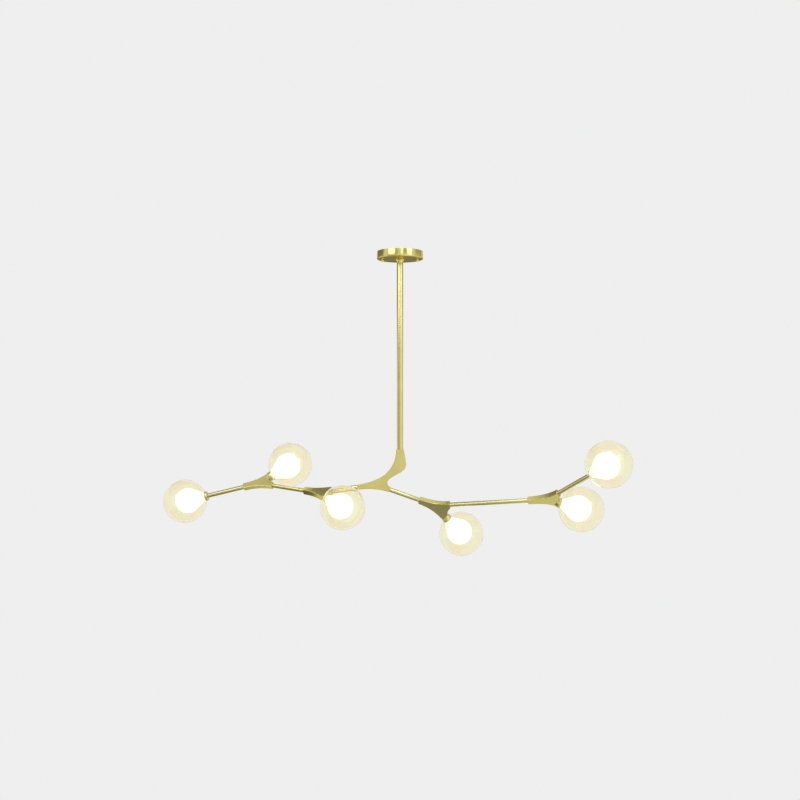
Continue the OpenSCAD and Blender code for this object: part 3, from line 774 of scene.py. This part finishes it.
top_left, top_right = Vector((-hub_top_w / 2, 0)), Vector((hub_top_w / 2, 0))
left_up, left_down = limb_corner(left_turn, hub_left_l, -1), limb_corner(left_turn, hub_left_l, 1)
right_up, right_down = limb_corner(right_turn, hub_right_l, 1), limb_corner(right_turn, hub_right_l, -1)
left_a, right_a = turn_of(left_turn), turn_of(right_turn)
notch_corner = meeting(right_up, right_a, notch[2], notch_turn)
outer_curve = hub_curve(top_left, meeting(top_left, pi / 2, left_up, left_a), left_up)
lower_curve = hub_curve(left_down, meeting(left_down, left_a, right_down, right_a), right_down)
notch_low = hub_curve(right_up, notch_corner, notch[2])
notch_high = hub_curve(notch[2], notch[1], notch[0])
heel_curve = hub_curve(heel[2], heel[1], heel[0])
# The steps of the curves at which one limb's side passes into the next limb's.
notch_crotch, outer_crotch, lower_crotch = 8, 11, 8
sides = [
    (notch_low + notch_high[1 : notch_crotch + 1], notch_high[notch_crotch:] + heel_curve + [top_right]),
    (outer_curve[: outer_crotch + 1], outer_curve[outer_crotch:]),
    (lower_curve[: lower_crotch + 1], lower_curve[lower_crotch:]),
]
limbs = [
    (right_turn, 4, arm_r, []),
    (Vector((0, 1)), 12, rod_d / 2, []),
    (left_turn, 5, arm_r, []),
]
upright = Matrix(((1, 0, 0, 0), (0, 0, -1, 0), (0, 1, 0, 0), (0, 0, 0, 1)))
cast_piece("hub_casting", casting(limbs, sides, hub_half), Matrix.Translation(hub_top) @ upright, "hub")


# ---- Lights ----
# A turned brass cup holds a ceramic lampholder with its capsule bulb, and grips the neck of two glasses: an opal
# inner one that glows, and a clear amber ball round it.

cup_r = 13 * MM
cup_wall = 1 * MM
cup_floor = 2 * MM
cable_hole = 3 * MM
fit = 0.06 * MM
gap = 0.3 * MM
globe_r = 60 * MM
globe_wall = 1.8 * MM
ball_r = 34 * MM
ball_wall = 1.4 * MM
ball_shift = 8.5 * MM
globe_mouth, globe_steps = radians(16), 72
ball_mouth, ball_steps = radians(50), 48
neck_wall = 1.4 * MM
holder_h = 15 * MM


def amber_glass(name):
    """Clear glass with a pale amber cast, deeper where it is seen edge-on, the slight waves of blown glass, and a
    painted glow.
    """
    material = bpy.data.materials.new(name)
    tree = new_tree(material)
    made = tree.add("ShaderNodeAttribute", {"attribute_name": "made"}, {}, output=1)
    waves = tree.add("ShaderNodeTexNoise", {}, {"Vector": made, "Scale": 28.0, "Detail": 1.0})
    streaks = tree.add("ShaderNodeTexNoise", {}, {"Vector": made, "Scale": 24.0, "Detail": 2.0})
    green, peach, rich = (0.975, 0.98, 0.82), (1.0, 0.925, 0.765), (1.0, 0.945, 0.74, 1)
    cast = tree.add("ShaderNodeValToRGB", {"stops": [(0.38, green), (0.62, peach)]}, {"Fac": streaks})
    edge = tree.add("ShaderNodeLayerWeight", {}, {"Blend": 0.4}, output=1)
    cast = tree.add("ShaderNodeMix", {"data_type": "RGBA"}, {0: edge**2.0, 6: cast, 7: rich}, output=2)
    ripple = tree.add("ShaderNodeBump", {}, {"Strength": 0.16, "Distance": 0.5 * MM, "Height": waves})
    surface(tree, {
        "Base Color": cast,
        "Roughness": 0.02,
        "IOR": 1.45,
        "Transmission Weight": 1.0,
        # Painted glow: this faint warm emission stands in for the light of the inner ball that the amber wall
        # scatters.
        "Emission Color": (1.0, 0.94, 0.76, 1),
        "Emission Strength": 0.008,
        "Normal": ripple,
    })
    material.cycles.emission_sampling = "NONE"
    return material


def opal_glass(name):
    """Frosted white glass, lit from inside: white all over the ball, creamier down the cone and at its edge."""
    material = bpy.data.materials.new(name)
    tree = new_tree(material)
    made = tree.add("ShaderNodeAttribute", {"attribute_name": "made"}, {}, output=1)
    height = tree.add("ShaderNodeSeparateXYZ", {}, {0: made}, output=2)
    edge = tree.add("ShaderNodeLayerWeight", {}, {"Blend": 0.3}, output=1)
    frost = tree.add("ShaderNodeTexNoise", {}, {"Vector": made, "Scale": 1500.0, "Detail": 2.0})
    white, warm, cream = (1.0, 1.0, 0.985), (0.93, 0.89, 0.70), (0.86, 0.83, 0.68, 1)
    glow = tree.add("ShaderNodeValToRGB", {"stops": [(0.5, white), (1.0, warm)]}, {"Fac": edge})
    cone = tree.add("ShaderNodeMapRange", {}, {0: height, 1: 8 * MM, 2: 34 * MM, 3: 1.0, 4: 0.0})
    glow = tree.add("ShaderNodeMix", {"data_type": "RGBA"}, {0: cone, 6: glow, 7: cream}, output=2)
    grit = tree.add("ShaderNodeBump", {}, {"Strength": 0.2, "Distance": 0.02 * MM, "Height": frost})
    surface(tree, {
        "Base Color": (0.96, 0.95, 0.92, 1),
        "Roughness": frost * 0.1 + 0.45,
        "Emission Color": glow,
        "Emission Strength": 1.0,
        "Normal": grit,
    })
    material.cycles.emission_sampling = "NONE"
    return material


def glazed(name, tone, roughness):
    """White ceramic or moulded plastic with a faint speckle."""
    material = bpy.data.materials.new(name)
    tree = new_tree(material)
    made = tree.add("ShaderNodeTexCoord", {}, {}, output=3)
    speckle = tree.add("ShaderNodeTexNoise", {}, {"Vector": made, "Scale": 700.0, "Detail": 3.0})
    dark = tuple(0.9 * value for value in tone)
    colour = tree.add("ShaderNodeValToRGB", {"stops": [(0.3, dark), (0.6, tone)]}, {"Fac": speckle})
    grit = tree.add("ShaderNodeBump", {}, {"Strength": 0.15, "Distance": 0.03 * MM, "Height": speckle})
    surface(tree, {"Base Color": colour, "Roughness": speckle * 0.2 + roughness, "Normal": grit})
    return material


def plated(name, tone, roughness):
    """Zinc or nickel plate with faint drawing marks."""
    material = bpy.data.materials.new(name)
    tree = new_tree(material)
    place = tree.add("ShaderNodeTexCoord", {}, {}, output=3)
    drawn = tree.add("ShaderNodeMapping", {}, {"Vector": place, "Scale": (60, 900, 900)})
    marks = tree.add("ShaderNodeTexNoise", {}, {"Vector": drawn, "Scale": 1.0, "Detail": 3.0})
    dark = tuple(0.82 * value for value in tone)
    colour = tree.add("ShaderNodeValToRGB", {"stops": [(0.3, dark), (0.7, tone)]}, {"Fac": marks})
    surface(tree, {"Base Color": colour, "Metallic": 1.0, "Roughness": marks * 0.15 + roughness})
    return material


cup_brass = brass("cup_brass", (along, along, across), 0.42, (0.74, 0.68, 0.38), (0.81, 0.75, 0.46))
amber = amber_glass("amber_glass")
opal = opal_glass("opal_glass")
ceramic = glazed("ceramic", (0.86, 0.84, 0.78), 0.3)
silicone = glazed("bulb_silicone", (0.93, 0.80, 0.42), 0.35)

neck_start = cup_floor + gap
flange = 1 * MM
bulb_start = cup_floor + holder_h + gap
bulb_r = 7 * MM
bulb_l = 42 * MM
bulb_base_l = 9 * MM
pin_r = 0.7 * MM
pin_l = 6 * MM
pin_gap = 9 * MM
plate = plated("zinc_plate", (0.70, 0.71, 0.72), 0.28)


def joined(name, parts):
    """One object of several meshes, each with its own material."""
    whole = bmesh.new()
    for index, (mesh, _) in enumerate(parts):
        for face in mesh.faces:
            face.material_index = index
        part = bpy.data.meshes.new(name)
        mesh.to_mesh(part)
        mesh.free()
        whole.from_mesh(part)
    piece = made_object(name, whole, parts[0][1])
    for _, material in parts[1:]:
        piece.data.materials.append(material)
    return piece


def shifted(mesh, x=0, y=0, z=0):
    bmesh.ops.translate(mesh, verts=mesh.verts, vec=(x, y, z))
    return mesh


def capsule_bulb(name):
    """A grooved ceramic base, a silicone capsule with a domed end, and two rounded pins."""
    base = [(0, 0), (bulb_r, 0, 0.5 * MM)]
    groove, groove_r = 0.4 * MM, 0.15 * MM
    for z in (0.3 * bulb_base_l, 0.5 * bulb_base_l, 0.7 * bulb_base_l):
        base += [(bulb_r, z - groove, groove_r), (bulb_r - groove, z, groove_r), (bulb_r, z + groove, groove_r)]
    base += [(bulb_r, bulb_base_l, 0.5 * MM), (0, bulb_base_l)]
    lens_r, dome_z = bulb_r - 0.5 * MM, bulb_l - bulb_r
    lens = [
        (0, bulb_base_l),
        (lens_r - 0.6 * MM, bulb_base_l, 0.3 * MM),
        (lens_r, bulb_base_l + 1.5 * MM, 0.6 * MM),
        *((lens_r * cos(radians(a)), dome_z + lens_r * sin(radians(a))) for a in range(0, 91, 9)),
    ]
    pin = [(0, -pin_l), (pin_r, -pin_l, 0.5 * MM), (pin_r, 0.2 * MM), (0, 0.2 * MM)]
    parts = [(turned(base, 64), ceramic), (turned(lens, 64), silicone)]
    parts += [(shifted(turned(pin, 16), x=side * pin_gap / 2), plate) for side in (-1, 1)]
    return joined(name, parts)


def blown(radius, centre_z, start, end, steps):
    """Points of a ball's outline, by their angles from the side of the neck."""
    return [
        (radius * sin(angle), centre_z - radius * cos(angle))
        for angle in (start + i * (end - start) / steps for i in range(steps + 1))
    ]


def light_pieces(light):
    """The cup, lampholder, bulb and two glasses of one light."""
    place = aimed(cup_base(light), joint_axis(f"globe_{light}_pull"))
    bore = cup_r - cup_wall
    globe_z = cup_h + 1 * MM + sqrt(globe_r**2 - cup_r**2)

    outline = [
        (cable_hole, 0, 0.2 * MM),
        (cup_r - 0.8 * MM, 0, 0.5 * MM),
        (cup_r, 1.2 * MM, 0.6 * MM),
        (cup_r, cup_h, 0.45 * MM),
        (bore, cup_h, 0.3 * MM),
        (bore, cup_floor, 0.3 * MM),
        (cable_hole, cup_floor, 0.2 * MM),
    ]
    cup = made_object(f"lamp_cup_{light}_turned", turned(outline, 96), cup_brass)
    stands_for(cup, place, f"lamp_cup_{light}")

    # The outer ball: its wall follows one sphere outside and one inside, and runs through a fillet into the neck.
    neck_r = bore - fit
    neck_in = neck_r - neck_wall
    neck_z = globe_z - sqrt(globe_r**2 - neck_r**2)
    inside = globe_r - globe_wall
    neck_in_z = globe_z - sqrt(inside**2 - neck_in**2)
    outline = [
        (neck_in, neck_start + flange, 0.3 * MM),
        (neck_r, neck_start + flange, 0.3 * MM),
        (neck_r, neck_z - 0.2 * MM, 2.5 * MM),
        *blown(globe_r, globe_z, globe_mouth, pi, globe_steps),
        *blown(inside, globe_z, pi, globe_mouth, globe_steps),
        (neck_in, neck_in_z, 2.0 * MM),
    ]
    globe = made_object(f"outer_globe_{light}_blown", turned(outline, 144), amber)
    stands_for(globe, place, f"outer_globe_{light}")

    # The inner glass: a flanged neck that opens in a cone to a ball, which the cone meets without a corner.
    ball_z = globe_z - ball_shift
    throat_r = neck_in - fit
    throat_z = globe_z - globe_r + 2 * MM

    outline = [
        (throat_r - ball_wall, neck_start),
        (neck_r, neck_start, 0.3 * MM),
        (neck_r, neck_start + flange, 0.3 * MM),
        (throat_r, neck_start + flange, 0.3 * MM),
        (throat_r, throat_z, 5 * MM),
        *blown(ball_r, ball_z, ball_mouth, pi, ball_steps),
        *blown(ball_r - ball_wall, ball_z, pi, ball_mouth, ball_steps),
        (throat_r - ball_wall, throat_z, 5 * MM),
    ]
    inner = made_object(f"inner_glass_{light}_blown", turned(outline, 96), opal)
    stands_for(inner, place, f"inner_glass_{light}")

    # The ceramic lampholder with a stepped rim, and the capsule bulb that plugs into it.
    holder_r = 8.5 * MM
    outline = [
        (0, cup_floor),
        (holder_r, cup_floor, 0.4 * MM),
        (holder_r, cup_floor + 0.55 * holder_h, 0.4 * MM),
        (holder_r - 0.8 * MM, cup_floor + 0.62 * holder_h, 0.4 * MM),
        (holder_r - 0.8 * MM, cup_floor + holder_h, 0.8 * MM),
        (0, cup_floor + holder_h),
    ]
    holder = made_object(f"lampholder_{light}_ceramic", turned(outline, 64), ceramic)
    stands_for(holder, place, f"lampholder_{light}")
    stands_for(capsule_bulb(f"bulb_{light}_capsule"), place @ Matrix.Translation((0, 0, bulb_start)), f"bulb_{light}")


for light in range(1, 7):
    light_pieces(light)


# ---- Bracket, terminals and cable ----
# The zinc-plated bar that the ceiling screws hold, with its threaded studs, nuts, earth screw and ceramic terminal
# block, whose sharp edges are broken. The nipple and the cable, hidden in the rods, keep their plain shapes.

pitch = 0.7 * MM
nodes, number = new_geometry("thread", ["Radius", "Turns", "Height", "Ridge"])
helix = nodes.add("GeometryNodeCurveSpiral", {}, {
    "Resolution": 24,
    "Rotations": number["Turns"],
    "Start Radius": number["Radius"],
    "End Radius": number["Radius"],
    "Height": number["Height"],
})
ridge = nodes.add("GeometryNodeCurvePrimitiveCircle", {}, {"Resolution": 5, "Radius": number["Ridge"]})
swept = nodes.add("GeometryNodeCurveToMesh", {}, {"Curve": helix, "Profile Curve": ridge, "Fill Caps": True})
thread = close_geometry(nodes, (swept, number["Core"]), plate)


def row(name, material):
    """A tree that repeats its core Count times, Step X and Step Y apart."""
    nodes, number = new_geometry(name, ["Step X", "Step Y", "Count"])
    step = nodes.add("ShaderNodeCombineXYZ", {}, {"X": number["Step X"], "Y": number["Step Y"]})
    line = nodes.add("GeometryNodeMeshLine", {}, {"Count": number["Count"], "Offset": step})
    copies = nodes.add("GeometryNodeInstanceOnPoints", {}, {"Points": line, "Instance": number["Core"]})
    return close_geometry(nodes, (copies,), material)


# The studs are threaded below the bar, and plain where the bar holds them.
stud_low, stud_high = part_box("canopy_studs")
stud_l, stud_r = stud_high.z - stud_low.z, 2 * MM
stud_core_r = stud_r - 0.3 * MM
bar_t = 2.5 * MM
outline = [
    (0, 0),
    (stud_core_r, 0, 0.4 * MM),
    (stud_core_r, stud_l - bar_t),
    (stud_r, stud_l - bar_t),
    (stud_r, stud_l, 0.3 * MM),
    (0, stud_l),
]
studs = made_object("canopy_studs_threaded", turned(outline, 32), plate)
thread_l = stud_l - bar_t - 1 * MM
numbers = {"Radius": stud_core_r, "Turns": thread_l / pitch, "Height": thread_l, "Ridge": stud_r - stud_core_r}
studs = dressed(studs, thread, numbers)
stud_step = stud_high.x - stud_low.x - 2 * stud_r
studs = dressed(studs, row("stud_pair", plate), {"Step X": stud_step, "Step Y": 0.0, "Count": 2})
stands_for(studs, Matrix.Translation((stud_low.x + stud_r, 0, stud_low.z)), "canopy_studs")


def eased(node, radius, material):
    """A copy of a CAD node with its sharp edges broken."""
    mesh = bmesh.new()
    mesh.from_mesh(frame["nodes"][node].data)
    bmesh.ops.remove_doubles(mesh, verts=mesh.verts, dist=1e-6)
    bmesh.ops.dissolve_limit(mesh, angle_limit=radians(1), verts=mesh.verts, edges=mesh.edges)
    piece = made_object(node + "_eased", mesh, material)
    edges = piece.modifiers.new("edges", "BEVEL")
    edges.width, edges.segments, edges.limit_method, edges.angle_limit = radius, 2, "ANGLE", lens_angle
    piece = settled(piece)
    return stands_for(piece, Matrix(), node)


eased("mounting_bracket", 0.4 * MM, plate)
eased("lock_nuts", 0.5 * MM, plate)
eased("terminal_block", 0.5 * MM, ceramic)
eased("earth_screw", 0.2 * MM, bright_brass)

# A brass clamping screw, with its slot, sits in each of the block's three lower holes.
block_low, block_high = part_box("terminal_block")
screw_r, screw_h, screw_rise, slot_half = 1.6 * MM, 1.2 * MM, 0.4 * MM, 0.3 * MM
pole_count, rim_steps = 3, 12
outline = [(0, screw_h), (screw_r, screw_h), (screw_r, 3 * screw_h), (0, 3 * screw_h)]
screw = turned(outline, 32)
corner = slot_half / screw_r
for side in (0, pi):
    rim = [side + corner + i * (pi - 2 * corner) / rim_steps for i in range(rim_steps + 1)]
    half = screw.faces.new([screw.verts.new((screw_r * cos(a), screw_r * sin(a), screw_h)) for a in rim])
    raised = bmesh.ops.extrude_face_region(screw, geom=[half])["geom"]
    bmesh.ops.translate(screw, verts=[v for v in raised if isinstance(v, bmesh.types.BMVert)], vec=(0, 0, -screw_h))
bmesh.ops.recalc_face_normals(screw, faces=screw.faces)
screws = made_object("terminal_screws", screw, bright_brass)
pole_step = (block_high.y - block_low.y) / pole_count
screws = dressed(screws, row("screw_row", bright_brass), {"Step X": 0.0, "Step Y": pole_step, "Count": pole_count})
first_pole = Vector(((block_low.x + block_high.x) / 2, block_low.y + pole_step / 2, block_low.z + screw_rise))
screws.data.transform(Matrix.Translation(first_pole))
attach(screws, frame["nodes"]["terminal_block"]["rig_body"])


def threaded(name):
    """Bright brass with the fine thread of the nipple, which runs along Z."""
    material = bpy.data.materials.new(name)
    tree = new_tree(material)
    place = tree.add("ShaderNodeTexCoord", {}, {}, output=3)
    turns = tree.add("ShaderNodeTexWave", {"bands_direction": "Z"}, {"Vector": place, "Scale": 314.0})
    tone = tree.add("ShaderNodeValToRGB", {"stops": [(0.0, bright[0]), (1.0, bright[1])]}, {"Fac": turns})
    ridges = tree.add("ShaderNodeBump", {}, {"Strength": 0.6, "Distance": 0.3 * MM, "Height": turns})
    surface(tree, {"Base Color": tone, "Metallic": 1.0, "Roughness": turns * -0.1 + 0.35, "Normal": ridges})
    return material


finishes = {"bright_brass": threaded("nipple_thread"), "cable": glazed("cable_sleeve", (0.88, 0.88, 0.86), 0.4)}
for node, piece in frame["nodes"].items():
    if not piece.hide_render:
        piece.data.materials.clear()
        piece.data.materials.append(finishes[slot_of[node]])
